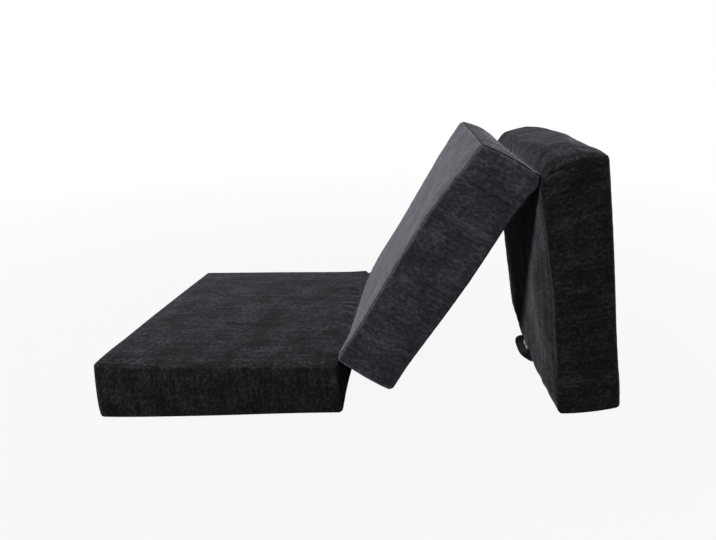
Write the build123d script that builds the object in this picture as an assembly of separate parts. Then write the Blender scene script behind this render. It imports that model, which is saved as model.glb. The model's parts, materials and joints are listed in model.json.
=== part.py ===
from build123d import *
import os
from math import acos, asin, atan2, cos, degrees, hypot, radians, sin, sqrt

# A fold-out ottoman guest bed: three equal foam sections in zipped covers, joined by two cloth hinges.
# The foot section lies flat, the middle one leans up from it, and the head one stands on its free edge.
# World axes: +X from the foot section to the head section, +Y to the back, +Z up, in millimetres.
# A section's own axes: X along its length, Y across its width, Z through its thickness, from its centre.

# Driving sizes of a section
section_length = 633.0
section_width = 700.0
section_thickness = 155.0
face_crown = 5.0        # rise of the top and the underside from their corners to their middle
side_crown = 3.5        # rise of the four side walls across the thickness
edge_radius = 11.0      # soft rounding along every seam
cover_cloth = 1.6       # chenille and its backing
core_ease = 0.3         # room between the foam and the cover

# The fold
head_lean = 9.0         # degrees that the head section leans back towards the middle one
hinge_gap = 0.6         # between two sections that are folded together or laid end to end
floor_flat = 0.5        # depth of the flat that the floor presses into a cushion
strip_cloth = 2.4       # two layers of cover cloth, sewn along both edges
strip_bow = 1.5         # how far the hinge strip hangs below a straight line
clearance = 0.3         # between pieces that move past each other
seam_inset = 26.0       # from the end of a hinge strip to the side of the section

# The zip in the back wall of each cover
zip_margin = 36.5       # from each end of the zip to the end of the section
zip_window = 10.0       # height of the slot between the two back strips
tape_width = 15.0       # one half of the tape
tape_cloth = 0.7
tape_part = 0.4         # between the two tapes
row_spine = 1.9         # width of a row's solid part
row_height = 2.4
tooth_pitch = 4.0
tooth_length = 1.9
tooth_width = 1.7
row_part = 1.0          # from the zip's middle line to a row's spine
stop_length = 4.0

# The slider and its pull
slider_length = 12.0
slider_plate = 1.0
slider_skirt = 1.4
pin_radius = 0.7
pin_height = 2.7        # above the slider's plate
ear_width = 0.9
ear_radius = 1.5
eye_radius = 2.0
eye_width = 3.6
pull_length = 32.0
pull_width = 7.0
pull_thickness = 1.4
pull_neck = 4.2         # from the pin to the start of the wide part
pull_hole = 1.5

# The carry handle, a flat loop of webbing at the head section's free edge
handle_span = 180.0
handle_reach = 41.0     # how far it stands out
webbing_width = 28.0
webbing_cloth = 2.4
handle_outer_bend = 34.0
handle_inner_bend = 11.0
handle_inset = 13.0     # from the section's free end to the loop
webbing_tail = 30.0     # sewn in behind the cover
tail_cloth = 1.2

overrun = 30.0          # by which every cutting solid runs past what it cuts

half_length = section_length / 2
half_width = section_width / 2
half_thickness = section_thickness / 2
zip_length = section_length - 2 * zip_margin


def arc_radius(reach, rise):
    """Radius of the arc that rises by rise over a half chord of reach."""
    return (reach**2 + rise**2) / (2 * rise)


def sag(radius, reach):
    """Drop of an arc from its top, at a distance of reach to the side."""
    return radius - sqrt(radius**2 - reach**2)


face_radius = arc_radius(hypot(half_length, half_width), face_crown)
side_radius = arc_radius(half_thickness, side_crown)


def wall_profile(half_span, inset):
    """A section's outline in a plane through its thickness, with its two side walls bowed out."""
    radius = side_radius - inset
    edge = half_thickness + overrun
    wall = half_span - inset - sag(radius, edge)
    crest = half_span - inset
    outline = (
        Line((-wall, -edge), (wall, -edge))
        + ThreePointArc((wall, -edge), (crest, 0), (wall, edge))
        + Line((wall, edge), (-wall, edge))
        + ThreePointArc((-wall, edge), (-crest, 0), (-wall, -edge))
    )
    return make_face(outline)


def cushion(inset):
    """A soft block, smaller than the section by inset on every side."""
    along = extrude(Plane.XZ * wall_profile(half_length, inset), section_width, both=True)
    across = extrude(Plane.YZ * wall_profile(half_width, inset), section_length, both=True)
    block = along & across
    for side in (1, -1):
        ball = Rot(90, 0, 0) * Sphere(face_radius - inset)
        block = block & Pos(0, 0, side * (half_thickness - face_radius)) * ball
    return fillet(block.edges(), edge_radius - inset)


def mitred(length, width, place):
    """The space behind one face of the section, bounded by 45 degree planes through its seams."""
    depth = half_thickness / 2
    near = Rectangle(length + 2 * overrun, width + 2 * overrun)
    far = Rectangle(length - 2 * depth, width - 2 * depth)
    return place * loft([Pos(0, 0, overrun) * near, Pos(0, 0, -depth) * far], ruled=True)


top_space = mitred(section_length, section_width, Pos(0, 0, half_thickness))
under_space = mitred(section_length, section_width, Pos(0, 0, -half_thickness) * Rot(180, 0, 0))
front_space = mitred(section_length, section_thickness, Pos(0, -half_width, 0) * Rot(90, 0, 0))
back_space = mitred(section_length, section_thickness, Pos(0, half_width, 0) * Rot(-90, 0, 0))
left_space = mitred(section_thickness, section_width, Pos(-half_length, 0, 0) * Rot(0, -90, 0))
right_space = mitred(section_thickness, section_width, Pos(half_length, 0, 0) * Rot(0, 90, 0))

# Zip places, measured on the back wall
tape_face = half_width - cover_cloth - sag(side_radius, tape_width)
row_top = tape_face + row_height
row_reach = row_part + row_spine
slider_width = 2 * (row_reach + clearance + slider_skirt)
slider_start = -zip_length / 2 + stop_length + clearance + slider_length / 2
slider_travel = -2 * slider_start
slider_top = row_top + clearance + slider_plate
pin_line = slider_top + pin_height


def block_between(low, high):
    """A box from one corner to the opposite one."""
    size = [b - a for a, b in zip(low, high)]
    return Pos(*low) * Box(*size, align=(Align.MIN, Align.MIN, Align.MIN))


def zip_slot():
    """The window for the zip through the back wall."""
    half = zip_length / 2
    return block_between(
        (-half, tape_face - overrun, -zip_window / 2), (half, half_width + overrun, zip_window / 2)
    )


def tape(side):
    half = zip_length / 2 + stop_length
    low, high = sorted((side * tape_part / 2, side * tape_width))
    return block_between((-half, tape_face - tape_cloth, low), (half, tape_face, high))


def tape_pocket():
    """Room in the foam for both tapes."""
    half = zip_length / 2 + stop_length + core_ease
    reach = tape_width + core_ease
    deep = tape_face - tape_cloth - core_ease
    return block_between((-half, deep, -reach), (half, half_width, reach))


def coil_row(side):
    """One row of teeth: a spine with a comb that reaches past the middle line."""
    half = zip_length / 2 - stop_length
    teeth = int(2 * half / tooth_pitch) - 1
    start = -teeth * tooth_pitch / 2 + (0 if side > 0 else tooth_pitch / 2)
    tip = row_part - tooth_length
    points = [(-half, row_reach), (-half, row_part)]
    for index in range(teeth):
        root = start + index * tooth_pitch
        points += [(root, row_part), (root, tip), (root + tooth_width, tip), (root + tooth_width, row_part)]
    points += [(half, row_part), (half, row_reach)]
    comb = make_face(Polyline([(x, side * z) for x, z in points], close=True))
    row = extrude(Plane.XZ * comb, row_height, dir=(0, 1, 0))
    return Pos(0, tape_face, 0) * row


def zip_stops():
    """The metal stops that close both ends of the zip."""
    half = zip_length / 2
    stop = block_between((-half, tape_face, -row_reach), (stop_length - half, row_top, row_reach))
    return Compound(children=[stop, mirror(stop, Plane.YZ)])


def slider():
    """A saddle over both rows, with two ears and a pin for the pull."""
    half = slider_length / 2
    body = block_between(
        (-half, tape_face + clearance, -slider_width / 2), (half, slider_top, slider_width / 2)
    )
    channel = row_reach + clearance
    body -= block_between(
        (-half - overrun, tape_face - overrun, -channel), (half + overrun, row_top + clearance, channel)
    )
    ear_start = eye_width / 2 + clearance
    ear_end = ear_start + ear_width
    for side in (1, -1):
        low, high = sorted((side * ear_start, side * ear_end))
        body += block_between((-ear_radius, slider_top, low), (ear_radius, pin_line, high))
        body += Pos(0, pin_line, (low + high) / 2) * Cylinder(ear_radius, ear_width)
    body += Pos(0, pin_line, 0) * Cylinder(pin_radius, 2 * ear_start)
    return Pos(slider_start, 0, 0) * body


def pull():
    """The pull: an eye round the pin, a narrow neck and a wide tab with a hole."""
    tab_length = pull_length - pull_neck
    eye = Cylinder(eye_radius, eye_width)
    neck = Pos((pull_neck + eye_radius) / 2, 0, 0) * Box(pull_neck + eye_radius, pull_thickness, eye_width)
    tab = extrude(RectangleRounded(tab_length, pull_width, pull_width / 3), pull_thickness / 2, both=True)
    tab -= Pos(tab_length / 2 - pull_width / 2, 0, 0) * Cylinder(pull_hole, 2 * pull_thickness)
    whole = eye + neck + Pos(pull_neck + tab_length / 2, 0, 0) * Rot(90, 0, 0) * tab
    whole -= Cylinder(pin_radius + clearance, 2 * eye_width)
    return Pos(slider_start, pin_line, 0) * whole


# Pieces that all three sections share
outer = cushion(0)
inner = cushion(cover_cloth)
shell = outer - inner
core = cushion(cover_cloth + core_ease) - tape_pocket()
back_wall = (shell & back_space) - zip_slot()
upper_half = block_between(
    (-section_length, 0, 0), (section_length, section_width, section_thickness)
)
lower_half = mirror(upper_half, Plane.XY)
section_pieces = {
    "core": core,
    "top_panel": shell & top_space,
    "under_panel": shell & under_space,
    "front_panel": shell & front_space,
    "back_upper_panel": back_wall & upper_half,
    "back_lower_panel": back_wall & lower_half,
    "left_end_panel": shell & left_space,
    "right_end_panel": shell & right_space,
}
zip_pieces = {
    "zip_upper_tape": tape(1),
    "zip_lower_tape": tape(-1),
    "zip_upper_teeth": coil_row(1),
    "zip_lower_teeth": coil_row(-1),
    "zip_stops": zip_stops(),
    "zip_slider": slider(),
    "zip_pull": pull(),
}

# Where the sections stand: the middle one's rise follows from the head one's lean and the sizes
pivot_x = half_length + hinge_gap / 2
pivot_z = half_thickness + hinge_gap / 2
section_z = half_thickness - floor_flat


def rounding_centre():
    """Centre of the rounding between the underside and the free end, in the head section's X and Z."""
    ball = (0, face_radius - half_thickness)
    drum = (half_length - side_radius, 0)
    ball_reach = face_radius - edge_radius
    drum_reach = side_radius - edge_radius
    apart = hypot(drum[0] - ball[0], drum[1] - ball[1])
    along = (ball_reach**2 - drum_reach**2 + apart**2) / (2 * apart)
    off = sqrt(ball_reach**2 - along**2)
    to_drum = ((drum[0] - ball[0]) / apart, (drum[1] - ball[1]) / apart)
    return (
        ball[0] + along * to_drum[0] - off * to_drum[1],
        ball[1] + along * to_drum[1] + off * to_drum[0],
    )


lean = radians(head_lean)
centre_x, centre_z = rounding_centre()
wall_tilt = atan2(-centre_z, centre_x - half_length + side_radius)
if lean > wall_tilt:
    head_drop = (centre_x + pivot_x) * cos(lean) - (centre_z + pivot_z) * sin(lean) + edge_radius
else:
    head_drop = (half_length - side_radius + pivot_x) * cos(lean) - pivot_z * sin(lean) + side_radius
first_pivot = (pivot_x, section_z + pivot_z)
climb = head_drop - floor_flat - first_pivot[1]
rise = asin(climb / hypot(2 * pivot_x, 2 * pivot_z)) + atan2(pivot_z, pivot_x)
second_pivot = (
    first_pivot[0] + 2 * pivot_x * cos(rise) + 2 * pivot_z * sin(rise),
    first_pivot[1] + 2 * pivot_x * sin(rise) - 2 * pivot_z * cos(rise),
)

foot_place = Pos(0, 0, section_z)
middle_place = (
    Pos(first_pivot[0], 0, first_pivot[1]) * Rot(0, -degrees(rise), 0) * Pos(pivot_x, 0, -pivot_z)
)
head_place = (
    Pos(second_pivot[0], 0, second_pivot[1]) * Rot(0, 90 - head_lean, 0) * Pos(pivot_x, 0, pivot_z)
)

floor_block = block_between(
    (-2 * section_length, -section_width, -section_thickness),
    (3 * section_length, section_width, 0),
)


def seam_point(place, end, face):
    """World X and Z of a seam, the middle of the rounding between an end and a face of a section."""
    tuck = edge_radius * (1 - sqrt(2) / 2)
    end_sag = sag(side_radius, half_thickness - edge_radius)
    face_sag = sag(face_radius, half_length - edge_radius)
    corner = place * Pos(end * (half_length - end_sag - tuck), 0, face * (half_thickness - face_sag - tuck))
    return corner.position.X, corner.position.Z


def hinge_strip(first, second, own, other):
    """Cloth from seam to seam, sewn to its own section and just clear of the other one."""
    across_x = second[0] - first[0]
    across_z = second[1] - first[1]
    span = hypot(across_x, across_z)
    tilt = degrees(atan2(across_z, across_x))
    reach = span / 2 + edge_radius / 2
    half_cloth = strip_cloth / 2
    band = make_face(
        Line((-reach, half_cloth), (-reach, -half_cloth))
        + ThreePointArc((-reach, -half_cloth), (0, -half_cloth - strip_bow), (reach, -half_cloth))
        + Line((reach, -half_cloth), (reach, half_cloth))
        + ThreePointArc((reach, half_cloth), (0, half_cloth - strip_bow), (-reach, half_cloth))
    )
    middle = Pos((first[0] + second[0]) / 2, 0, (first[1] + second[1]) / 2)
    strip = extrude(Plane.XZ * band, half_width - seam_inset, both=True)
    return middle * Rot(0, -tilt, 0) * strip - own - other


def handle():
    """A flat loop of webbing in the head section's own axes, standing out of its underside."""
    axis_z = under_line - clearance - webbing_cloth / 2
    loop = RectangleRounded(handle_span, 2 * handle_reach, handle_outer_bend)
    inner_span = handle_span - 2 * webbing_width
    inner_reach = handle_reach - webbing_width
    loop -= RectangleRounded(inner_span, 2 * inner_reach, handle_inner_bend)
    loop &= Pos(0, -handle_reach / 2, 0) * Rectangle(handle_span, handle_reach)
    solid = extrude(Plane.YZ * loop, webbing_cloth / 2, both=True)
    for side in (1, -1):
        roll = Rot(90, 0, 0) * Cylinder(webbing_cloth / 2, webbing_width)
        solid += Pos(0, side * (handle_span - webbing_width) / 2, 0) * roll
    return Pos(handle_line, 0, axis_z) * solid


def webbing_tails():
    """The two ends of the webbing, sewn in between the underside's cloth and the foam."""
    layer = cushion(cover_cloth + core_ease) - cushion(cover_cloth + core_ease + tail_cloth)
    tails = []
    for side in (1, -1):
        middle = side * (handle_span - webbing_width) / 2
        patch = block_between(
            (handle_line - webbing_tail, middle - webbing_width / 2, -section_thickness),
            (handle_line, middle + webbing_width / 2, -half_thickness / 2),
        )
        tails.append((layer & patch).solid())
    return tails


def tail_pocket():
    """Room in the foam for both ends of the webbing."""
    reach = handle_span / 2 + core_ease
    room = block_between(
        (handle_line - webbing_tail - core_ease, -reach, -section_thickness),
        (handle_line + core_ease, reach, -half_thickness / 2),
    )
    return room - cushion(cover_cloth + 2 * core_ease + tail_cloth)


handle_line = half_length - handle_inset
under_line = sag(face_radius, handle_line) - half_thickness

places = {"foot": foot_place, "middle": middle_place, "head": head_place}
nodes = {}
for section, place in places.items():
    for name, piece in section_pieces.items():
        if section == "head" and name == "core":
            piece = piece - tail_pocket()
        nodes[f"{section}_{name}"] = place * piece
    # The middle section's cover is turned end for end, so that each zip closes at its upper end
    zip_turn = Rot(0, 180, 0) if section == "middle" else Pos(0, 0, 0)
    for name, piece in zip_pieces.items():
        nodes[f"{section}_{name}"] = place * zip_turn * piece

# The floor presses a small flat into what rests on it
for name in ("foot_under_panel", "head_under_panel", "head_right_end_panel"):
    nodes[name] = nodes[name] - floor_block

wide = cushion(-clearance)
nodes["foot_hinge_strip"] = hinge_strip(
    seam_point(foot_place, 1, 1), seam_point(middle_place, -1, 1), foot_place * outer, middle_place * wide
)
nodes["head_hinge_strip"] = hinge_strip(
    seam_point(middle_place, 1, -1), seam_point(head_place, -1, -1), middle_place * outer, head_place * wide
)
nodes["carry_handle"] = head_place * handle()
nodes["handle_tails"] = head_place * Compound(children=webbing_tails())

os.makedirs("parts", exist_ok=True)
for name, shape in nodes.items():
    whole = Part() + shape
    export_step(whole, f"parts/{name}.step")
print(f"{len(nodes)} nodes; rise {degrees(rise):.2f} degrees")
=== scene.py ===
# Fold-out ottoman guest bed: three zipped chenille cushions standing in a Z fold
# Lengths are in metres. A section's own axes: x along its length, y across it, z through its thickness
import json
import math
import bpy
import numpy as np
from mathutils import Matrix, Vector


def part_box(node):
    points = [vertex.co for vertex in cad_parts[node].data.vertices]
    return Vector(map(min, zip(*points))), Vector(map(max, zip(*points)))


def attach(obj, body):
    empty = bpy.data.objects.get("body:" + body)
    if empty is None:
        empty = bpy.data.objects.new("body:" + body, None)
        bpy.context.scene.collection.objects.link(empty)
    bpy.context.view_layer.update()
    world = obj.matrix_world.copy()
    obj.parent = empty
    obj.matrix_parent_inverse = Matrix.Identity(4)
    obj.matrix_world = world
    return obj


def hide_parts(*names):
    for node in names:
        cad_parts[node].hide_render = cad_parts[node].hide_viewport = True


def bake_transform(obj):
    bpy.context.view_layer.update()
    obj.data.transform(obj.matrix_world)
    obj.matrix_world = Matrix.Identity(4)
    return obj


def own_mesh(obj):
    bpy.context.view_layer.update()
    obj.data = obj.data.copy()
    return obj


mm = 0.001
onWall = 1e-6           # a grid point nearer than this to a wall lies on it
nearZero = 1e-9         # the least distance that anything is divided by
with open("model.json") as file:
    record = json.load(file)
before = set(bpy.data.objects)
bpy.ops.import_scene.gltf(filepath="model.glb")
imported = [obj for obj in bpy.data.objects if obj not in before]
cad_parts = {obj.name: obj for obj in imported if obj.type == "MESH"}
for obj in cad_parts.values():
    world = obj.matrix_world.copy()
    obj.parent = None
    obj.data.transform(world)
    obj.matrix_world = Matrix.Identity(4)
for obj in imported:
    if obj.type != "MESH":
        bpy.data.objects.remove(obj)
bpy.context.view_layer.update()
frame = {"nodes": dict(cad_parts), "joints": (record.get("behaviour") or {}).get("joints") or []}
joints = {joint["name"]: joint for joint in frame["joints"]}

# One section, as the frame has it
section = {
    "length": 633 * mm,
    "width": 700 * mm,
    "thickness": 155 * mm,
    "faceCrown": 5 * mm,        # how far a large face falls off from its middle to a corner
    "sideCrown": 3.5 * mm,      # how far a side falls off from its middle to a seam
    "rounding": 11 * mm,
    "hingeGap": 0.6 * mm,       # between two sections, laid flat or folded together
}
half = np.array([section["length"], section["width"], section["thickness"]]) / 2
pivotX = half[0] + section["hingeGap"] / 2
pivotZ = half[2] + section["hingeGap"] / 2


def jointPoint(name):
    # A joint's place in the world's x and z
    place = joints[name]["pos_m"]
    return np.array([place[0], place[2]])


# At each fold's lower limit its two sections lie flat, which gives their turns at rest
rise = -math.radians(joints["foot_fold"]["range_deg"][0])
headTurn = -rise - math.radians(joints["head_fold"]["range_deg"][0])
# Each section hangs on a pivot: the pivot's world x and z, the turn about +y, the pivot in its own x and z
places = {
    "foot": (jointPoint("foot_fold"), 0.0, (pivotX, pivotZ)),
    "middle": (jointPoint("foot_fold"), -rise, (-pivotX, pivotZ)),
    "head": (jointPoint("head_fold"), headTurn, (-pivotX, -pivotZ)),
}


def toWorld(name, points):
    # Turns a section's own points about +y, round its pivot, into world places
    pivot, turn, own = places[name]
    x = points[:, 0] - own[0]
    z = points[:, 2] - own[1]
    cosine, sine = math.cos(turn), math.sin(turn)
    worldX = pivot[0] + x * cosine + z * sine
    worldZ = pivot[1] - x * sine + z * cosine
    return np.stack([worldX, points[:, 1], worldZ], axis=1)


# Materials

def linear(code):
    # sRGB hex to linear red, green, blue and a full alpha, by the standard's own curve
    values = [int(code[i:i + 2], 16) / 255 for i in (1, 3, 5)]
    return [v / 12.92 if v <= 0.04045 else ((v + 0.055) / 1.055) ** 2.4 for v in values] + [1.0]


def addNode(tree, kind, settings={}, values={}, links={}):
    # A node with its settings, its socket values and its incoming links
    node = tree.nodes.new("ShaderNode" + kind)
    for name, value in settings.items():
        setattr(node, name, value)
    for name, value in values.items():
        node.inputs[name].default_value = value
    for name, source in links.items():
        tree.links.new(source, node.inputs[name])
    return node


def newMaterial(name, surface):
    # An empty node material with one Principled shader, whose fixed numbers go straight on its sockets
    material = bpy.data.materials.new(name)
    material.use_nodes = True
    tree = material.node_tree
    tree.nodes.clear()
    shader = addNode(tree, "BsdfPrincipled", values=surface)
    addNode(tree, "OutputMaterial", links={"Surface": shader.outputs["BSDF"]})
    return material, tree, shader


def colourRamp(tree, source, stops):
    # A ramp of (position, hex) stops, driven by source
    ramp = addNode(tree, "ValToRGB", links={"Fac": source})
    elements = ramp.color_ramp.elements
    while len(elements) < len(stops):
        elements.new(0.5)
    for element, (position, code) in zip(elements, stops):
        element.position = position
        element.color = linear(code)
    return ramp


chenille = {
    "sheen": "#dfe1ea",
    "patterns": {               # each one's length along the nap, width across it and noise detail
        "slubs": (11 * mm, 7 * mm, 4.0),        # the pile lies in short slubs
        "streaks": (110 * mm, 14 * mm, 3.0),    # brushed along the nap
        "clouds": (70 * mm, 70 * mm, 2.0),      # where hands have brushed it
        "pile": (3 * mm, 3 * mm, 1.0),          # cut pile, drawn coarser than it is, so that it shows
    },
    "noiseRoughness": 0.62,
    "toneShares": {"streaks": 0.45, "clouds": 0.5, "pile": 0.4},        # added to the slubs
    "toneRange": (0.9, 1.45),   # sums that give the darkest and the lightest colour
    "reliefShares": {"pile": 0.25, "streaks": 0.9, "clouds": 2.0},
    "relief": 1.5 * mm,
}
# One cloth in two copies. The second copy glows more at a slant, and its lighter tones are partly the nap
# seen against its lie and partly painted light, which lightens the whole middle section as if its slanted top
# caught more light
naps = {
    "Along": {"tones": ("#0e0e0f", "#191a1c", "#343539"), "sheen": (0.07, 0.25)},
    "AgainstWithPaintedLight": {"tones": ("#1b1c1f", "#2e3035", "#4c4f55"), "sheen": (0.55, 1.0)},
}


def stretchedNoise(tree, uv, length, width, detail):
    # Noise that is drawn out along the nap, from its real length and width
    place = addNode(tree, "Mapping", values={"Scale": (1 / length, 1 / width, 1)}, links={"Vector": uv})
    values = {"Scale": 1.0, "Detail": detail, "Roughness": chenille["noiseRoughness"]}
    return addNode(tree, "TexNoise", values=values, links={"Vector": place.outputs["Vector"]}).outputs["Fac"]


def summed(tree, patterns, shares):
    # The slubs plus a share of each other pattern
    total = patterns["slubs"]
    for name, share in shares.items():
        total = addNode(tree, "Math", {"operation": "MULTIPLY_ADD"}, {1: share},
                        {0: patterns[name], 2: total}).outputs["Value"]
    return total


def chenilleMaterial(nap):
    # Woven chenille upholstery: a short cut pile that drinks light head-on and glows at a slant
    surface = {
        "Roughness": 0.95,
        "Specular IOR Level": 0.03,
        "Sheen Roughness": 0.4,
        "Sheen Tint": linear(chenille["sheen"]),
    }
    material, tree, shader = newMaterial("chenillePile" + nap, surface)
    uv = addNode(tree, "UVMap", {"uv_map": "cloth"}).outputs["UV"]
    patterns = {name: stretchedNoise(tree, uv, *sizes) for name, sizes in chenille["patterns"].items()}
    least, most = chenille["toneRange"]
    spread = addNode(tree, "MapRange", values={"From Min": least, "From Max": most},
                     links={"Value": summed(tree, patterns, chenille["toneShares"])}).outputs["Result"]
    dark, mid, light = naps[nap]["tones"]
    colour = colourRamp(tree, spread, [(0.0, dark), (0.5, mid), (1.0, light)])
    low, high = naps[nap]["sheen"]
    glow = addNode(tree, "MapRange", values={"To Min": low, "To Max": high}, links={"Value": spread})
    height = summed(tree, patterns, chenille["reliefShares"])
    bump = addNode(tree, "Bump", values={"Strength": 1.0, "Distance": chenille["relief"]},
                   links={"Height": height})
    tree.links.new(colour.outputs["Color"], shader.inputs["Base Color"])
    tree.links.new(glow.outputs["Result"], shader.inputs["Sheen Weight"])
    tree.links.new(bump.outputs["Normal"], shader.inputs["Normal"])
    return material


chenilleCloth = {nap: chenilleMaterial(nap) for nap in naps}
print("materials made")


# Meshes

def gridQuads(index):
    # The faces of a grid of point numbers: each point with its next ones down and across
    return np.stack([index[:-1, :-1], index[1:, :-1], index[1:, 1:], index[:-1, 1:]], axis=-1).reshape(-1, 4)


def gridUv(quads, u, v):
    # Each face corner's u and v, from one of them for each row and the other for each column
    u, v = np.broadcast_arrays(u, v)
    return np.stack([u.ravel()[quads], v.ravel()[quads]], axis=-1).reshape(-1, 2)


def meshObject(name, points, faces, loopUv=None, material=None):
    # Puts whole arrays into a mesh object that sits at the origin
    mesh = bpy.data.meshes.new(name)
    mesh.from_pydata(points.tolist(), [], faces.tolist())
    if loopUv is not None:
        layer = mesh.uv_layers.new(name="cloth")
        layer.data.foreach_set("uv", np.asarray(loopUv, np.float32).ravel())
    mesh.polygons.foreach_set("use_smooth", np.ones(len(mesh.polygons), bool))
    if material:
        mesh.materials.append(material)
    mesh.update()
    obj = bpy.data.objects.new(name, mesh)
    bpy.context.scene.collection.objects.link(obj)
    return obj


def pointsOf(mesh):
    # A mesh's points, one to a row
    flat = np.zeros(len(mesh.vertices) * 3)
    mesh.vertices.foreach_get("co", flat)
    return flat.reshape(-1, 3)


def movePoints(mesh, points):
    # Gives every point of a mesh its new place
    mesh.vertices.foreach_set("co", points.ravel())
    mesh.update()


def refined(obj):
    # One level of subdivision, which rounds the facets
    finer = obj.modifiers.new("Subdivision", "SUBSURF")
    finer.levels = finer.render_levels = 1


def finished(obj):
    # Turns the live modifiers into mesh, which a piece needs before it bends or flattens
    evaluated = obj.evaluated_get(bpy.context.evaluated_depsgraph_get())
    mesh = bpy.data.meshes.new_from_object(evaluated)
    obj.modifiers.clear()
    obj.data = mesh


# Cushion covers

cover = {
    "pitch": 13 * mm,           # spacing of the cloth's grid
    "seamAngles": (13, 25, 34, 40, 43, 45),     # rows on the rounding, in degrees up to the seam
    "rowClear": 2.2 * mm,       # even rows nearer than this to a row of the zip are left out
    "grooveDepth": 0.9 * mm,
    "grooveWidth": 1.8 * mm,
    "waveSize": 240 * mm,       # soft unevenness of the foam and its cloth
    "waveHeight": 2.0 * mm,
    "waveFade": 40 * mm,        # from a seam to the full waves
    "zipHalf": 280 * mm,
    "zipWindow": 5 * mm,        # half the height of the zip's recess
    "zipEdge": 0.5 * mm,        # width of the recess's wall
    "zipDepth": 4.2 * mm,
    "zipCalm": 18 * mm,         # no waves on the back wall nearer than this to the zip
    "zipFade": 30 * mm,         # from there to the full waves
    "seamHold": 7 * mm,         # how far a seam holds the cloth still
    "zipHold": 16 * mm,         # and how far the zip does
    "floorGap": 0.2 * mm,       # no point lies lower than this
    "sideShift": (0.83, 0.57),  # in u and v, so that each side is cut from another part of the cloth
    "sectionShift": 3.1,        # in u, times the section's seed
}


def latticeLines(reach, extra=()):
    # Grid lines over one axis: an even pitch on the flat, then rows at set angles round to each seam
    inner = reach - section["rounding"]
    count = int(round(2 * inner / cover["pitch"]))
    flat = np.linspace(-inner, inner, count + 1)
    ring = inner + section["rounding"] * np.tan(np.radians(cover["seamAngles"]))
    lines = np.concatenate([-ring[::-1], flat, ring])
    for value in extra:
        lines = lines[np.abs(lines - value) > cover["rowClear"]]
    return np.sort(np.concatenate([lines, extra]))


def closedLattice(lines):
    # The skin of a box of grid lines: shared points, quads facing out and each quad's side, two to an axis
    counts = tuple(len(line) for line in lines)
    keys, sides = [], []
    for axis in range(3):
        second, third = (axis + 1) % 3, (axis + 2) % 3
        row, column = np.meshgrid(np.arange(counts[second]), np.arange(counts[third]), indexing="ij")
        for far in (False, True):
            index = [None, None, None]
            index[axis] = np.full(row.shape, counts[axis] - 1 if far else 0)
            index[second], index[third] = row, column
            quad = gridQuads(np.ravel_multi_index(tuple(index), counts))
            keys.append(quad if far else quad[:, ::-1])
            sides.append(np.full(len(quad), axis * 2 + far))
    found, quads = np.unique(np.concatenate(keys), return_inverse=True)
    points = np.stack([line[at] for line, at in zip(lines, np.unravel_index(found, counts))], axis=1)
    return points, quads.reshape(-1, 4), np.concatenate(sides)


def seamDistance(points):
    # How far each point lies from the nearest seam, over the rounding: the second least of its distances from
    # the box's edges along x, y and z
    rounding = section["rounding"]
    past = np.abs(points) - (half - rounding)
    arc = rounding * (math.pi / 4 - np.arctan(np.maximum(past, 0) / rounding))
    reach = np.where(past > 0, arc, rounding * math.pi / 4 - past)
    return np.sort(np.maximum(reach, 0), axis=1)[:, 1]


def roundedBox(points):
    # A box skin whose edges turn on a radius: each point moves to one radius from the inner box
    inner = half - section["rounding"]
    base = np.clip(points, -inner, inner)
    away = points - base
    normal = away / np.linalg.norm(away, axis=1)[:, None]
    return base + section["rounding"] * normal, normal


def crowned(points):
    # Bows every side: each wall falls off from its middle as a shallow arc
    x, y, z = points.T
    faceRadius = (half[0] ** 2 + half[1] ** 2 + section["faceCrown"] ** 2) / (2 * section["faceCrown"])
    sideRadius = (half[2] ** 2 + section["sideCrown"] ** 2) / (2 * section["sideCrown"])
    thin = 1 - (x ** 2 + y ** 2) / (2 * faceRadius) / half[2]
    drawn = z ** 2 / (2 * sideRadius)
    return np.stack([x * (1 - drawn / half[0]), y * (1 - drawn / half[1]), z * thin], axis=1)


def waves(points, seed, size, height, count=6):
    # Soft unevenness: a few sine waves of about one size, in seeded directions, that sum to about the height
    rng = np.random.default_rng(seed)
    total = np.zeros(len(points))
    for wave in range(count):
        direction = rng.normal(size=3)
        direction /= np.linalg.norm(direction)
        pace = rng.uniform(0.7, 1.4)        # some waves are longer and some shorter
        phase = rng.uniform(0, 6.28)        # anywhere in a turn
        total += np.sin(points @ direction * 2 * math.pi / size * pace + phase)
    return total * height / (count / 2)


def pulled(points, pulls):
    # Moves the cloth round a corner or an edge: each pull fades as a bell curve over its reach
    moved = points.copy()
    for pull in pulls:
        corner = np.array(pull["at"]) * half
        share = np.exp(-(((points - corner) / np.array(pull["reach"])) ** 2).sum(axis=1))
        moved += share[:, None] * np.array(pull["by"])
    return moved


drift = {"size": 0.9, "pace": 0.37, "start": 1.0}      # makes the spacing of the gathers uneven


def gathered(points, normal, gathers):
    # Small folds that run out from a seam: a cosine across them, faded as a bell curve over their reach
    moved = points.copy()
    for gather in gathers:
        away = points - np.array(gather["at"]) * half
        share = np.exp(-((away / np.array(gather["reach"])) ** 2).sum(axis=1))
        along = np.array(gather["along"], float)
        phase = away @ (along / np.linalg.norm(along)) * 2 * math.pi / gather["pitch"]
        phase += drift["size"] * np.sin(phase * drift["pace"] + drift["start"])
        moved += normal * (share * gather["height"] * np.cos(phase))[:, None]
    return moved


def clothUv(points, quads, sides, offset):
    # Each panel's own cloth plane in metres, with the nap along u
    nap = np.array([2, 2, 0])[sides // 2]
    weft = np.array([1, 0, 1])[sides // 2]
    corner = points[quads]
    row = np.arange(len(quads))[:, None]
    column = np.arange(4)[None, :]
    u = corner[row, column, nap[:, None]] + sides[:, None] * cover["sideShift"][0] + offset
    v = corner[row, column, weft[:, None]] + sides[:, None] * cover["sideShift"][1]
    return np.stack([u, v], axis=-1).reshape(-1, 2)


clothSim = {"frames": 20, "quality": 3, "mass": 0.3, "stretch": 12, "shear": 6}
coverSwell = {"pressure": 0.8, "shrink": -0.006, "bending": 0.8, "cap": 4 * mm}


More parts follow.
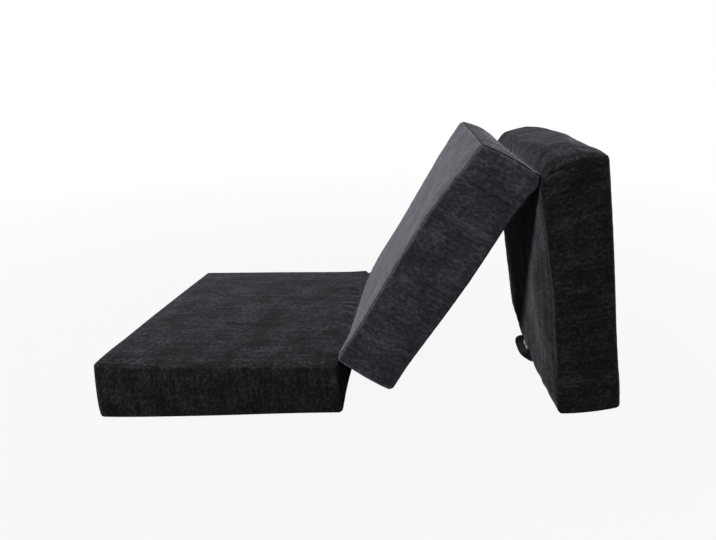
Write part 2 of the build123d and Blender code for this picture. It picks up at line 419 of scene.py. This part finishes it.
def simulated(obj, pins, settings):
    # Swells the cloth with its seams held. Each move becomes the cap times the tanh of the move over the cap
    scene = bpy.context.scene
    scene.frame_start = 1
    scene.frame_end = clothSim["frames"]
    group = obj.vertex_groups.new(name="pins")
    for level in np.unique(pins):
        group.add(np.nonzero(pins == level)[0].tolist(), float(level), "REPLACE")
    cloth = obj.modifiers.new("Cloth", "CLOTH")
    cloth.settings.quality = clothSim["quality"]
    cloth.settings.mass = clothSim["mass"]
    cloth.settings.tension_stiffness = clothSim["stretch"]
    cloth.settings.compression_stiffness = clothSim["stretch"]
    cloth.settings.shear_stiffness = clothSim["shear"]
    cloth.settings.bending_stiffness = settings["bending"]
    cloth.settings.use_pressure = True
    cloth.settings.uniform_pressure_force = settings["pressure"]
    cloth.settings.shrink_min = settings["shrink"]
    cloth.settings.effector_weights.gravity = 0
    cloth.settings.vertex_group_mass = "pins"
    cloth.point_cache.frame_start = 1
    cloth.point_cache.frame_end = clothSim["frames"]
    before = pointsOf(obj.data)
    for step in range(1, clothSim["frames"] + 1):
        scene.frame_set(step)
    evaluated = obj.evaluated_get(bpy.context.evaluated_depsgraph_get())
    moved = pointsOf(evaluated.data) - before
    far = np.linalg.norm(moved, axis=1)
    cap = settings["cap"]
    moved *= (cap * np.tanh(far / cap) / np.maximum(far, nearZero))[:, None]
    print("  cloth moved", round(float(far.mean()) / mm, 2), "mean", round(float(far.max()) / mm, 2), "most")
    obj.modifiers.remove(cloth)
    obj.vertex_groups.remove(group)
    scene.frame_set(1)
    movePoints(obj.data, before + moved)


# Each section's cloth. Pulls and gathers sit at shares of the half sizes. The sides in alongSides take the
# Along copy of the cloth, without the other copy's painted light, whatever the section's nap: side 0 is the
# low end in x, side 1 the high end, and so on
shapes = {
    "foot": {
        "seed": 11, "fill": 0.85, "nap": "Along", "alongSides": (),
        "pulls": [
            {"at": (1, -1, -1), "by": (6 * mm, -4 * mm, 2 * mm), "reach": (60 * mm, 80 * mm, 50 * mm)},
            {"at": (-1, -1, -1), "by": (4 * mm, -26 * mm, 0), "reach": (430 * mm, 130 * mm, 75 * mm)},
            {"at": (-1, -1, 1), "by": (0, 0, 8 * mm), "reach": (60 * mm, 90 * mm, 60 * mm)},
            {"at": (0, -1, 1), "by": (0, 3 * mm, -9 * mm), "reach": (620 * mm, 60 * mm, 45 * mm)},
            {"at": (1, -1, 1), "by": (-7 * mm, 4 * mm, -3 * mm), "reach": (25 * mm, 25 * mm, 25 * mm)},
            {"at": (0, 1, 1), "by": (0, -5 * mm, -3 * mm), "reach": (400 * mm, 120 * mm, 60 * mm)},
            {"at": (-1, 0.8, 1), "by": (7 * mm, -3 * mm, 0), "reach": (120 * mm, 330 * mm, 38 * mm)},
            {"at": (1, 1, 1), "by": (3 * mm, 0, 4 * mm), "reach": (45 * mm, 70 * mm, 25 * mm)},
        ],
        "gathers": [
            {"at": (1, 0.08, 1), "along": (0, 1, 0), "pitch": 42 * mm, "height": 4.2 * mm,
             "reach": (45 * mm, 115 * mm, 15 * mm)},
        ],
    },
    "middle": {
        # The middle's cover takes the lighter copy, whose tones are partly painted light; its two ends keep
        # the Along copy
        "seed": 23, "fill": 0.8, "nap": "AgainstWithPaintedLight", "alongSides": (0, 1),      # both ends
        "pulls": [
            {"at": (1, 0, 1), "by": (2 * mm, 0, -8 * mm), "reach": (380 * mm, 900 * mm, 90 * mm)},
            {"at": (1, -1, 1), "by": (-8 * mm, 4 * mm, -16 * mm), "reach": (120 * mm, 160 * mm, 90 * mm)},
            {"at": (1, -1, -1), "by": (-2 * mm, 0, -16 * mm), "reach": (90 * mm, 120 * mm, 60 * mm)},
            {"at": (0, -1, 1), "by": (0, -2 * mm, 8 * mm), "reach": (330 * mm, 90 * mm, 50 * mm)},
            {"at": (0, 1, 1), "by": (0, -3 * mm, -11 * mm), "reach": (360 * mm, 200 * mm, 60 * mm)},
            {"at": (0.3, -1, -1), "by": (0, 0, -18 * mm), "reach": (300 * mm, 500 * mm, 60 * mm)},
            {"at": (-1, -1, -0.3), "by": (-6 * mm, 0, 0), "reach": (60 * mm, 200 * mm, 70 * mm)},
            {"at": (-1, -1, -1), "by": (-7 * mm, 0, -3 * mm), "reach": (50 * mm, 80 * mm, 45 * mm)},
            {"at": (-1, -1, 1), "by": (0, 0, 9 * mm), "reach": (90 * mm, 90 * mm, 60 * mm)},
            {"at": (1, 1, 1), "by": (-2 * mm, 0, -6 * mm), "reach": (60 * mm, 90 * mm, 50 * mm)},
            {"at": (1, 0.6, 0.2), "by": (4 * mm, 0, 0), "reach": (60 * mm, 170 * mm, 60 * mm)},
            {"at": (1, 0.3, 0), "by": (9 * mm, 0, 0), "reach": (40 * mm, 300 * mm, 50 * mm)},
        ],
        "gathers": [
            {"at": (1, -1, -1), "along": (0.3, 0.3, 0.9), "pitch": 18 * mm, "height": 3.6 * mm,
             "reach": (50 * mm, 45 * mm, 45 * mm)},
            {"at": (1, 0.7, 0.9), "along": (0.5, 1, 0.3), "pitch": 46 * mm, "height": 2.8 * mm,
             "reach": (75 * mm, 190 * mm, 45 * mm)},
        ],
    },
    "head": {
        "seed": 37, "fill": 0.8, "nap": "Along", "alongSides": (),
        "pulls": [
            {"at": (-1, -1, -1), "by": (14 * mm, 0, 1 * mm), "reach": (70 * mm, 90 * mm, 50 * mm)},
            {"at": (-1, 0, -1), "by": (2 * mm, 0, 0), "reach": (70 * mm, 900 * mm, 45 * mm)},
            {"at": (-1, 0, 1), "by": (-12 * mm, 0, 0), "reach": (160 * mm, 900 * mm, 110 * mm)},
            {"at": (-0.2, -1, 1), "by": (0, 0, 6 * mm), "reach": (420 * mm, 300 * mm, 60 * mm)},
            {"at": (0.9, -1, 1), "by": (0, -4 * mm, 5 * mm), "reach": (120 * mm, 100 * mm, 60 * mm)},
            {"at": (-0.05, -1, -1), "by": (0, 0, 12 * mm), "reach": (230 * mm, 100 * mm, 50 * mm)},
            {"at": (1, -0.1, -1), "by": (0, 0, -14 * mm), "reach": (110 * mm, 260 * mm, 60 * mm)},
            {"at": (0.3, 1, -1), "by": (0, 0, -6 * mm), "reach": (260 * mm, 200 * mm, 50 * mm)},
        ],
        "gathers": [
            {"at": (-1, -1, -0.9), "along": (0.5, 0.2, 0.85), "pitch": 18 * mm, "height": 4.0 * mm,
             "reach": (50 * mm, 45 * mm, 45 * mm)},
            {"at": (1, 0.1, -1), "along": (0, 1, 0), "pitch": 80 * mm, "height": 1.4 * mm,
             "reach": (45 * mm, 330 * mm, 30 * mm)},
        ],
    },
}
latticeOf = {}          # each cover's flat grid, by which its seams are found again


def zipRecess(points, lattice):
    # Presses the back wall in along the zip, down to just under the tapes
    inside = (np.abs(lattice[:, 0]) < cover["zipHalf"]) & (np.abs(lattice[:, 2]) < cover["zipWindow"])
    inside &= lattice[:, 1] > half[1] - onWall
    sunk = points.copy()
    sunk[inside, 1] -= cover["zipDepth"]
    return sunk


def sectionCover(name):
    # One cushion: a crowned, rounded box skin with seam grooves, pulled corners and swollen cloth
    shape = shapes[name]
    window, edge, zipHalf = cover["zipWindow"], cover["zipEdge"], cover["zipHalf"]
    zipRows = (-window - 3 * edge, -window, -window + edge, 0, window - edge, window, window + 3 * edge)
    zipEnds = (-zipHalf, -zipHalf + edge, zipHalf - edge, zipHalf)
    lines = [latticeLines(half[0], zipEnds), latticeLines(half[1]), latticeLines(half[2], zipRows)]
    lattice, quads, sides = closedLattice(lines)
    near = seamDistance(lattice)
    onBack = lattice[:, 1] > half[1] - onWall
    fromZip = np.abs(lattice[:, 2])

    points, normal = roundedBox(lattice)
    groove = cover["grooveDepth"] * np.exp(-((near / cover["grooveWidth"]) ** 2))
    points = crowned(points - normal * groove[:, None])
    soft = np.clip(near / cover["waveFade"], 0, 1)
    soft[onBack] *= np.clip((fromZip[onBack] - cover["zipCalm"]) / cover["zipFade"], 0, 1)
    uneven = soft * waves(lattice, shape["seed"], cover["waveSize"], cover["waveHeight"])
    points += normal * uneven[:, None]
    points = pulled(gathered(points, normal, shape["gathers"]), shape["pulls"])

    # Seams, the zip's edges and the side that stands on the floor hold the cloth still
    floorSide = {"foot": lattice[:, 2] < -half[2] + onWall, "head": lattice[:, 0] > half[0] - onWall}
    pins = np.exp(-((near / cover["seamHold"]) ** 2))
    pins[onBack & (fromZip < cover["zipHold"])] = 1
    if name in floorSide:
        pins[floorSide[name]] = 1
    pins = np.round(pins, 1)        # in tenths, one level of the vertex group to each

    loopUv = clothUv(lattice, quads, sides, cover["sectionShift"] * shape["seed"])
    obj = meshObject(name + "Cover", points, quads, loopUv, chenilleCloth[shape["nap"]])
    obj.data.materials.append(chenilleCloth["Along"])
    obj.data.polygons.foreach_set("material_index", np.isin(sides, shape["alongSides"]).astype(int))
    simulated(obj, pins, coverSwell)
    world = toWorld(name, zipRecess(pointsOf(obj.data), lattice))
    world[:, 2] = np.maximum(world[:, 2], cover["floorGap"])
    movePoints(obj.data, world)
    refined(obj)
    latticeOf[name] = lattice
    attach(obj, name)
    panels = ["core", "top_panel", "under_panel", "front_panel", "back_upper_panel", "back_lower_panel",
              "left_end_panel", "right_end_panel"]
    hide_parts(*[name + "_" + panel for panel in panels])
    print("cover made:", name, len(points), "points")
    return obj


covers = {name: sectionCover(name) for name in shapes}
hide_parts("handle_tails")


# The head section's slack end

endPuff = {
    "height": 36 * mm,          # of the slack cloth over the section's end
    "across": 3.0, "along": 4.4,        # how square the dome is through the thickness and over the width
    "hingeSide": 7.0,           # squarer there, where the slack cloth stands up
    "lean": 0.12,               # how much higher it is towards the hinge
    "rows": 40, "columns": 120,
    "seat": 9 * mm,             # how far its closed underside lies in the section
    "freeFrom": 12 * mm,        # over the section's end, from where the cloth is all slack
    "seed": 71,
    "waveSize": 260 * mm,
    "waveHeight": 1.2 * mm,
    "uvShift": 7.7,             # cut from another part of the cloth than the cover
    "swell": {"pressure": 0.8, "shrink": -0.008, "bending": 1.5, "cap": 4 * mm},
    "keep": 0.12,               # of its height once the bed lies flat
}


def puffEnd():
    # A pillow on the head's end. Its height goes with the root of one minus u to a power, times the same
    # of v, and its hidden back sinks with the root of that height
    v, u = np.meshgrid(np.linspace(-1, 1, endPuff["rows"] + 1), np.linspace(-1, 1, endPuff["columns"] + 1),
                       indexing="ij")
    u, v = np.sin(u * math.pi / 2), np.sin(v * math.pi / 2)     # rows lie closer towards the rim
    rise = np.sqrt(np.maximum(1 - np.abs(v) ** np.where(v < 0, endPuff["hingeSide"], endPuff["across"]), 0))
    rise *= np.sqrt(np.maximum(1 - np.abs(u) ** endPuff["along"], 0)) * (1 - endPuff["lean"] * v)
    tuck = section["rounding"] * (1 - math.sqrt(0.5))       # from the box's corner in to the seam
    y, z = u * (half[1] - tuck), v * (half[2] - tuck)
    outer = np.stack([-half[0] + tuck - endPuff["height"] * rise, y, z], axis=-1)
    back = np.stack([-half[0] + tuck + endPuff["seat"] * np.sqrt(rise), y, z], axis=-1)

    # The two sheets share the points of their rim
    index = np.arange(rise.size).reshape(rise.shape)
    rim = np.ones_like(index, bool)
    rim[1:-1, 1:-1] = False
    under = np.where(rim, index, index + rise.size)
    keep = np.concatenate([np.ones(rise.size, bool), ~rim.ravel()])
    renumber = np.cumsum(keep) - 1
    quads = renumber[np.concatenate([gridQuads(index)[:, ::-1], gridQuads(under)])]
    flat = np.concatenate([outer.reshape(-1, 3), back.reshape(-1, 3)])[keep]

    points = crowned(flat)
    outward = np.zeros_like(points)
    outward[:, 0] = -1
    slack = np.clip(-(flat[:, 0] + half[0]) / endPuff["freeFrom"], 0, 1)
    uneven = slack * waves(flat, endPuff["seed"], endPuff["waveSize"], endPuff["waveHeight"])
    points += outward * uneven[:, None]
    points = pulled(gathered(points, outward, shapes["head"]["gathers"][:1]), shapes["head"]["pulls"])
    loopUv = flat[quads][:, :, [2, 1]].reshape(-1, 2) + endPuff["uvShift"]
    obj = meshObject("headEndPuff", points, quads, loopUv, chenilleCloth["Along"])
    pins = np.where(slack > 0.5, 0.0, 1.0)      # held where less than half slack
    simulated(obj, pins, endPuff["swell"])
    movePoints(obj.data, toWorld("head", pointsOf(obj.data)))
    refined(obj)
    finished(obj)
    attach(obj, "head")
    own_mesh(obj)


puffEnd()
print("slack end made")


# Hinge cloths

hingeCloth = {
    "inset": 22 * mm,           # from the strip's ends to the side of the section
    "lap": 4 * mm,              # how far it is sewn in past each seam
    "bow": 3 * mm,
    "ripple": 0.2,              # share by which the bow varies along the strip
    "ripplePitch": 47 * mm,
    "thickness": 2.4 * mm,
    "uvWidth": 20 * mm,         # of cloth from seam to seam
    "columns": 12,
}


def seamLine(name, end, face):
    # World points of the seam between an end and a face of a finished cover, in order of y
    lattice = latticeOf[name]
    on = (np.abs(lattice[:, 0] - end * half[0]) < onWall) & (np.abs(lattice[:, 2] - face * half[2]) < onWall)
    on &= np.abs(lattice[:, 1]) <= half[1] - hingeCloth["inset"]
    order = np.argsort(lattice[on, 1])
    return pointsOf(covers[name].data)[on][order]


def hingeStrip(name, first, second, firstSeam, secondSeam, bowTo, node):
    # Cloth from seam to seam: straight across each pair of points, bowed as a parabola
    a, b = seamLine(first, *firstSeam), seamLine(second, *secondSeam)
    share = np.linspace(0, 1, hingeCloth["columns"] + 1)
    gap = b - a
    length = np.linalg.norm(gap, axis=1)[:, None]
    start, stop = a - gap / length * hingeCloth["lap"], b + gap / length * hingeCloth["lap"]
    points = start[:, None, :] + (stop - start)[:, None, :] * share[None, :, None]
    ripple = 1 + hingeCloth["ripple"] * np.sin(a[:, 1] * 2 * math.pi / hingeCloth["ripplePitch"])
    bow = (4 * share * (1 - share))[None, :] * ripple[:, None] * hingeCloth["bow"]
    points += np.array(bowTo)[None, None, :] * bow[:, :, None]
    quads = gridQuads(np.arange(len(a) * len(share)).reshape(len(a), len(share)))
    loopUv = gridUv(quads, share[None, :] * hingeCloth["uvWidth"], a[:, 1:2])
    obj = meshObject(name, points.reshape(-1, 3), quads, loopUv, chenilleCloth["Along"])
    wall = obj.modifiers.new("Solidify", "SOLIDIFY")
    wall.thickness = hingeCloth["thickness"]
    wall.offset = 0
    refined(obj)
    finished(obj)
    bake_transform(obj)
    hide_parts(node)


hingeStrip("footHingeCloth", "foot", "middle", (1, 1), (-1, 1), (0, 0, -1), "foot_hinge_strip")
hingeStrip("headHingeCloth", "middle", "head", (1, -1), (-1, -1), (0, 0, 1), "head_hinge_strip")
print("hinge cloths made")


# Carry handle

handle = {
    "halfSpan": 76 * mm,        # from its middle to the centre of each sewn end
    "reach": 29 * mm,           # centre line's way out from the sewn edge
    "square": 0.62,             # below 1 the loop is squarer than a half ellipse
    "width": 28 * mm,
    "thickness": 2.4 * mm,
    "rimPower": 0.35, "facePower": 0.6,         # below 1 the webbing's section is squarer than an oval
    "rootIn": 1 * mm,           # from the solid's sewn side in to the start of the loop
    "sewnIn": 16 * mm,
    "twist": 72.0,              # degrees
    "twistAt": 0.2,             # share of the loop at which it turns most onto its edge
    "twistEnd": 0.42,           # share over which it turns back to flat
    "sunk": 2 * mm,             # how far its lower rim hangs under the sewn line where it is twisted
    "steps": 140, "around": 20,
}
webbing = {
    "dark": "#070708", "light": "#131415",
    "rib": 2.2 * mm,            # herringbone pitch, drawn coarse
    "slant": 38.0,              # degrees
    "bandScale": 0.31,          # one band to a unit of the turned coordinates
    "relief": 0.5 * mm,
}


def webbingMaterial():
    # Woven polyester webbing: flat hard yarns with a dull shine along the ribs
    surface = {"Roughness": 0.62, "Specular IOR Level": 0.14, "Sheen Weight": 0.03, "Sheen Roughness": 0.5}
    material, tree, shader = newMaterial("polyesterWebbingWoven", surface)
    uv = addNode(tree, "UVMap", {"uv_map": "cloth"})
    turn = {"Rotation": (0, 0, math.radians(webbing["slant"])), "Scale": (1 / webbing["rib"],) * 3}
    turned = addNode(tree, "Mapping", values=turn, links={"Vector": uv.outputs["UV"]})
    bands = {"Scale": webbing["bandScale"], "Distortion": 0.6}
    ribs = addNode(tree, "TexWave", {"wave_type": "BANDS"}, bands, {"Vector": turned.outputs["Vector"]})
    colour = colourRamp(tree, ribs.outputs["Fac"], [(0.15, webbing["dark"]), (0.85, webbing["light"])])
    bump = addNode(tree, "Bump", values={"Strength": 0.5, "Distance": webbing["relief"]},
                   links={"Height": ribs.outputs["Fac"]})
    tree.links.new(colour.outputs["Color"], shader.inputs["Base Color"])
    tree.links.new(bump.outputs["Normal"], shader.inputs["Normal"])
    return material


def handleLoop():
    # Webbing along a squared half ellipse: a flat oval profile that turns from its edge to flat
    low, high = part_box("carry_handle")
    rootX = high.x - handle["rootIn"]
    rootZ = (low.z + high.z) / 2
    angle = np.linspace(0, math.pi, handle["steps"] + 1)
    y = -handle["halfSpan"] * np.sign(np.cos(angle)) * np.abs(np.cos(angle)) ** handle["square"]
    x = rootX - handle["reach"] * np.sin(angle) ** handle["square"]
    x[0] = x[-1] = rootX + handle["sewnIn"]
    share = np.linspace(0, 1, handle["steps"] + 1)
    fade = np.clip(1 - np.abs(share - handle["twistAt"]) / handle["twistEnd"], 0, 1)
    twist = np.radians(handle["twist"]) * fade ** 2 * (3 - 2 * fade)
    lift = (handle["width"] / 2 - handle["sunk"]) * np.sin(twist)
    path = np.stack([x, y, rootZ + lift], axis=1)

    # The path's own directions at each step: along it, outward and up, then both turned by the twist
    step = np.gradient(path, axis=0)
    step /= np.linalg.norm(step, axis=1)[:, None]
    outward = np.cross(step, np.array([0, 0, 1.0]))
    outward /= np.linalg.norm(outward, axis=1)[:, None]
    up = np.cross(outward, step)
    wide = outward * np.cos(twist)[:, None] + up * np.sin(twist)[:, None]
    thin = np.cross(step, wide)

    turn = np.linspace(0, 2 * math.pi, handle["around"], endpoint=False)
    cosine, sine = np.cos(turn), np.sin(turn)
    across = handle["width"] / 2 * np.sign(cosine) * np.abs(cosine) ** handle["rimPower"]
    through = handle["thickness"] / 2 * np.sign(sine) * np.abs(sine) ** handle["facePower"]
    points = path[:, None] + wide[:, None] * across[None, :, None] + thin[:, None] * through[None, :, None]
    index = np.arange(len(path) * len(turn)).reshape(len(path), len(turn))
    quads = gridQuads(np.concatenate([index, index[:, :1]], axis=1))
    travelled = np.concatenate([[0], np.cumsum(np.linalg.norm(np.diff(path, axis=0), axis=1))])
    loopUv = gridUv(quads, travelled[:, None], across[None, :])
    obj = meshObject("handleLoop", points.reshape(-1, 3), quads, loopUv, webbingMaterial())
    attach(obj, "handle")
    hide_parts("carry_handle")


handleLoop()
print("handle made")


# Zips

zips = {
    "weave": 1.2 * mm,          # the tape's threads, drawn coarse so that they show
    "weaveRelief": 0.3 * mm,
    "tapeTones": ((0.35, "#151517"), (0.7, "#2b2c30")),
    "coilGrain": 3 * mm,
    "coilTones": ((0.3, "#0d0d0f"), (0.7, "#17181a")),
    "rub": 4 * mm,              # size of the rubbed places
    "enamelTones": ((0.4, "#101012"), (0.62, "#1a1b1d"), (0.75, "#4b4c4e")),
    "enamelRoughness": (0.28, 0.5),
}


def tapeMaterial():
    # Polyester zip tape: a fine flat weave, dull, a little lighter than the chenille beside it
    surface = {"Roughness": 0.78, "Specular IOR Level": 0.3, "Sheen Weight": 0.2}
    material, tree, shader = newMaterial("polyesterTapeWoven", surface)
    place = addNode(tree, "TexCoord")
    weave = addNode(tree, "TexNoise", values={"Scale": 1 / zips["weave"], "Detail": 2.0},
                    links={"Vector": place.outputs["Object"]})
    colour = colourRamp(tree, weave.outputs["Fac"], zips["tapeTones"])
    bump = addNode(tree, "Bump", values={"Strength": 0.4, "Distance": zips["weaveRelief"]},
                   links={"Height": weave.outputs["Fac"]})
    tree.links.new(colour.outputs["Color"], shader.inputs["Base Color"])
    tree.links.new(bump.outputs["Normal"], shader.inputs["Normal"])
    return material


def teethMaterial():
    # Moulded nylon coil: smooth black plastic with a soft highlight
    material, tree, shader = newMaterial("nylonCoilMoulded", {"Roughness": 0.38, "Specular IOR Level": 0.5})
    place = addNode(tree, "TexCoord")
    grain = addNode(tree, "TexNoise", values={"Scale": 1 / zips["coilGrain"]},
                    links={"Vector": place.outputs["Object"]})
    colour = colourRamp(tree, grain.outputs["Fac"], zips["coilTones"])
    tree.links.new(colour.outputs["Color"], shader.inputs["Base Color"])
    return material


def enamelMaterial():
    # Die-cast zinc with a baked black enamel: glossy on the faces, greyer where it has rubbed
    material, tree, shader = newMaterial("zincBlackEnamel", {"Coat Weight": 0.35, "Coat Roughness": 0.22})
    place = addNode(tree, "TexCoord")
    rub = addNode(tree, "TexNoise", values={"Scale": 1 / zips["rub"], "Detail": 4.0},
                  links={"Vector": place.outputs["Object"]})
    colour = colourRamp(tree, rub.outputs["Fac"], zips["enamelTones"])
    glossy, rubbed = zips["enamelRoughness"]
    rough = addNode(tree, "MapRange", values={"To Min": glossy, "To Max": rubbed},
                    links={"Value": rub.outputs["Fac"]})
    tree.links.new(colour.outputs["Color"], shader.inputs["Base Color"])
    tree.links.new(rough.outputs["Result"], shader.inputs["Roughness"])
    return material


zipFinish = {"tape": tapeMaterial(), "teeth": teethMaterial(), "stops": enamelMaterial()}
zipFinish["slider"] = zipFinish["pull"] = zipFinish["stops"]
for name, node in frame["nodes"].items():
    if "_zip_" in name:
        kind = name.rsplit("_", 1)[1]
        node.data.materials.clear()
        node.data.materials.append(zipFinish[kind])
print("zips finished")


# Floor, lights and camera

stage = {
    "floorSize": 30.0,
    "floorColour": "#6a6a6a",
    "fadeFrom": 0.8,            # up to here the floor has its near tone to the camera
    "nearTone": 0.92,
    "clearRadius": 4.0,         # past this it is plain white
    "clearTone": 1.0,
    "white": (1, 1, 1, 1),
    "worldStrength": 0.015,
    # Lamps: power in watts, side of the square, place
    "keyPower": 122.0, "keySize": 0.5, "keyAt": (-0.86, -3.13, 2.82),
    "overheadPower": 172.0, "overheadSize": 1.6, "overheadAt": (-1.5, 0.9, 3.1),
    "fillPower": 45.0, "fillSize": 2.0, "fillAt": (3.4, 0.7, 1.9),
    "aim": (0.4, 0.0, 0.3),     # the lamps look here
}


def stageFloor():
    # A grey floor that the camera sees near white, where only the object's shadow shows
    size = stage["floorSize"]
    corners = np.array([[-size, -size, 0], [size, -size, 0], [size, size, 0], [-size, size, 0]]) / 2
    material = bpy.data.materials.new("matteFloorPaint")
    material.use_nodes = True
    tree = material.node_tree
    tree.nodes.clear()
    paint = addNode(tree, "BsdfDiffuse", values={"Color": linear(stage["floorColour"])})
    glow = addNode(tree, "Emission", values={"Strength": 1.0})
    path = addNode(tree, "LightPath")
    place = addNode(tree, "TexCoord")
    far = addNode(tree, "VectorMath", {"operation": "LENGTH"}, links={0: place.outputs["Object"]})
    tones = {"From Min": stage["fadeFrom"], "From Max": stage["clearRadius"],
             "To Min": stage["nearTone"], "To Max": stage["clearTone"]}
    fade = addNode(tree, "MapRange", values=tones, links={"Value": far.outputs["Value"]})
    seen = addNode(tree, "Math", {"operation": "MULTIPLY"},
                   links={0: path.outputs["Is Camera Ray"], 1: fade.outputs["Result"]})
    mix = addNode(tree, "MixShader", links={0: seen.outputs["Value"], 1: paint.outputs["BSDF"],
                                            2: glow.outputs["Emission"]})
    addNode(tree, "OutputMaterial", links={"Surface": mix.outputs["Shader"]})
    floor = meshObject("floor", corners, np.array([[0, 1, 2, 3]]), material=material)


def stageWorld():
    # White to the camera, to glossy rays and through glass, and a plain grey dome for the light
    world = bpy.data.worlds.new("studioWorld")
    bpy.context.scene.world = world
    world.use_nodes = True
    tree = world.node_tree
    tree.nodes.clear()
    dome = addNode(tree, "Background", values={"Color": stage["white"], "Strength": stage["worldStrength"]})
    backdrop = addNode(tree, "Background", values={"Color": stage["white"], "Strength": 1.0})
    path = addNode(tree, "LightPath")
    first = addNode(tree, "Math", {"operation": "MAXIMUM"},
                    links={0: path.outputs["Is Camera Ray"], 1: path.outputs["Is Glossy Ray"]})
    seen = addNode(tree, "Math", {"operation": "MAXIMUM"},
                   links={0: first.outputs["Value"], 1: path.outputs["Is Transmission Ray"]})
    mix = addNode(tree, "MixShader", links={0: seen.outputs["Value"], 1: dome.outputs["Background"],
                                            2: backdrop.outputs["Background"]})
    addNode(tree, "OutputWorld", links={"Surface": mix.outputs["Shader"]})


def areaLight(name):
    # A square soft box that looks at the bed
    lamp = bpy.data.lights.new(name + "Light", "AREA")
    lamp.energy = stage[name + "Power"]
    lamp.size = stage[name + "Size"]
    obj = bpy.data.objects.new(name + "Light", lamp)
    obj.location = stage[name + "At"]
    obj.rotation_mode = "QUATERNION"
    obj.rotation_quaternion = (Vector(stage["aim"]) - obj.location).to_track_quat("-Z", "Y")
    bpy.context.scene.collection.objects.link(obj)


stageFloor()
stageWorld()
for lightName in ("key", "overhead", "fill"):
    areaLight(lightName)

view = {
    "at": (0.540, -1.405, 0.779),
    "yaw": 2.02, "pitch": 20.7, "roll": -1.07,      # degrees
    "focalPixels": 489.0, "centrePixel": (411.0, 278.0), "framePixels": (716.0, 540.0),
    "sensor": 36.0,
}


def photoCamera():
    # The photograph's camera: right, up and back from yaw, pitch and roll
    yaw, pitch, roll = (math.radians(view[name]) for name in ("yaw", "pitch", "roll"))
    forward = Vector((-math.sin(yaw) * math.cos(pitch), math.cos(yaw) * math.cos(pitch), -math.sin(pitch)))
    level = Vector((math.cos(yaw), math.sin(yaw), 0))
    plumb = level.cross(forward)
    right = math.cos(roll) * level + math.sin(roll) * plumb
    up = math.cos(roll) * plumb - math.sin(roll) * level
    data = bpy.data.cameras.new("photoCamera")
    data.sensor_width = view["sensor"]
    data.lens = view["focalPixels"] / view["framePixels"][0] * view["sensor"]
    data.shift_x = (view["framePixels"][0] / 2 - view["centrePixel"][0]) / view["framePixels"][0]
    data.shift_y = (view["centrePixel"][1] - view["framePixels"][1] / 2) / view["framePixels"][0]
    camera = bpy.data.objects.new("photoCamera", data)
    turned = Matrix((right, up, -forward)).transposed().to_4x4()
    camera.matrix_world = Matrix.Translation(view["at"]) @ turned
    bpy.context.scene.collection.objects.link(camera)
    bpy.context.scene.camera = camera


photoCamera()
bpy.context.scene.view_settings.view_transform = "Standard"
print("stage, lights and camera made")
